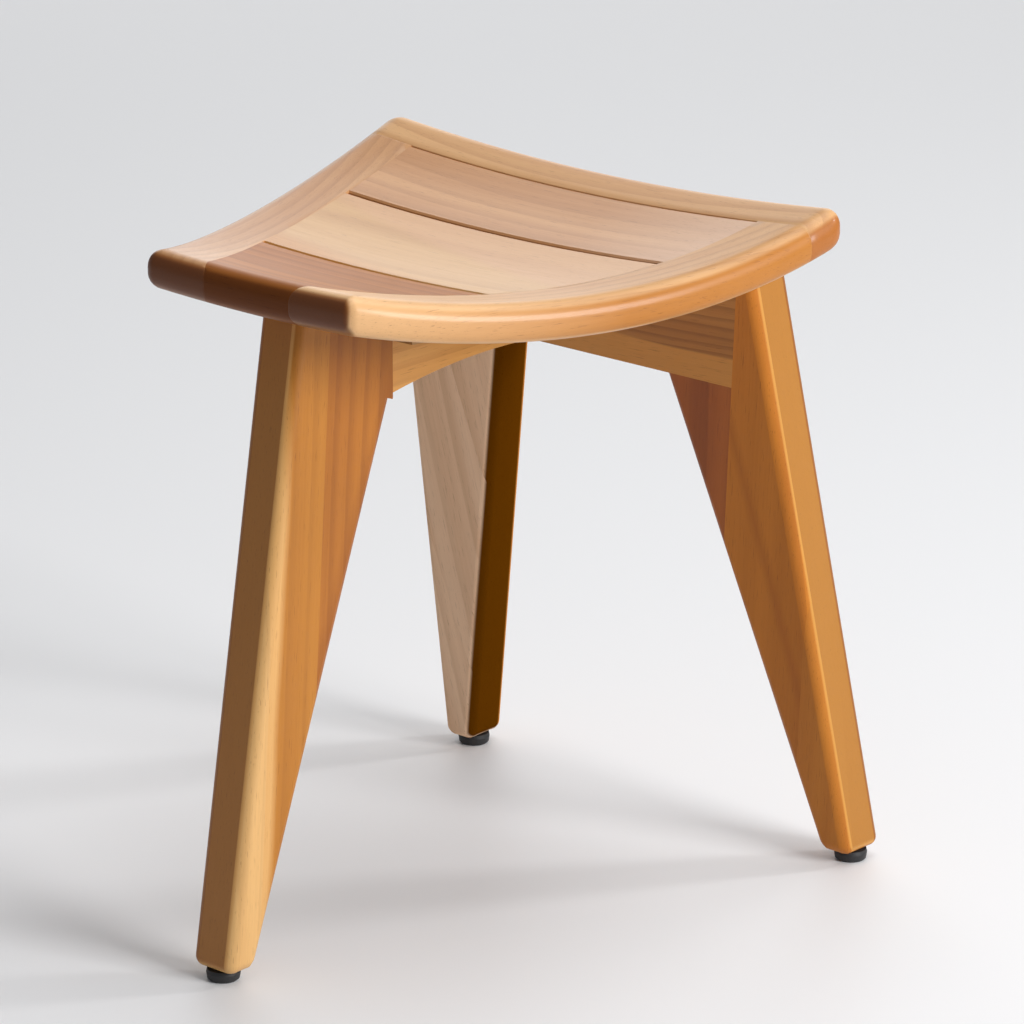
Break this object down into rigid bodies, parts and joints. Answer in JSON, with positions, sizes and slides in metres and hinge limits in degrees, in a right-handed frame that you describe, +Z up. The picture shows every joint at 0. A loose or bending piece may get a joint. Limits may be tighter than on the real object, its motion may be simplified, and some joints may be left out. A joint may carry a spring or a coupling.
{
  "type": "shower stool",
  "caption": "Low wooden shower stool with a dished, slatted seat that narrows to the front, splayed plank legs on a T-shaped under-frame and screw-in levelling feet.",
  "frame": {"origin": "on the floor, in the middle of the stool's overall box", "axes": "+Z up, +Y from the single front leg towards the wide back edge, +X to the stool's right as seen from the front leg; the plane X = 0 is its mirror plane"},
  "size_m": [0.389, 0.4515, 0.4593],
  "materials": {
    "rail_wood": "oiled teak, satin",
    "slat_wood": "oiled teak, satin",
    "pale_slat_wood": "oiled pale teak, satin",
    "leg_inner_wood": "oiled dark teak, satin",
    "leg_middle_wood": "oiled teak, satin",
    "leg_outer_wood": "oiled light teak, satin",
    "under_frame_wood": "oiled teak, satin",
    "dowel_wood": "plain beech, unfinished",
    "steel": "stainless, satin",
    "brass": "turned brass",
    "foot_rubber": "black rubber, matt"
  },
  "bodies": {
    "stool": {"left_rail": "rail_wood", "right_rail": "rail_wood", "back_rail": "rail_wood", "front_slat": "slat_wood", "middle_slat": "pale_slat_wood", "back_slat": "slat_wood", "slat_dowels": "dowel_wood", "corner_dowels": "dowel_wood", "front_leg_inner_board": "leg_inner_wood", "front_leg_middle_board": "leg_middle_wood", "front_leg_outer_board": "leg_outer_wood", "left_leg_inner_board": "leg_inner_wood", "left_leg_middle_board": "leg_middle_wood", "left_leg_outer_board": "leg_outer_wood", "right_leg_inner_board": "leg_inner_wood", "right_leg_middle_board": "leg_middle_wood", "right_leg_outer_board": "leg_outer_wood", "spine_rail": "under_frame_wood", "cross_rail": "under_frame_wood", "left_cleat": "under_frame_wood", "right_cleat": "under_frame_wood", "spine_dowels": "dowel_wood", "lap_dowels": "dowel_wood", "seat_dowels": "dowel_wood", "cleat_screws": "steel", "seat_screws": "steel", "front_insert": "brass", "left_insert": "brass", "right_insert": "brass"},
    "front_foot": {"front_stem": "steel", "front_pad": "foot_rubber"},
    "right_foot": {"right_stem": "steel", "right_pad": "foot_rubber"},
    "left_foot": {"left_stem": "steel", "left_pad": "foot_rubber"}
  },
  "joints": [
    {"name": "front_foot_travel", "type": "slide", "parent": "stool", "child": "front_foot", "axis": [0, 0, -1], "range_m": [0, 0.008]},
    {"name": "right_foot_travel", "type": "slide", "parent": "stool", "child": "right_foot", "axis": [0, 0, -1], "range_m": [0, 0.008]},
    {"name": "left_foot_travel", "type": "slide", "parent": "stool", "child": "left_foot", "axis": [0, 0, -1], "range_m": [0, 0.008]}
  ]
}
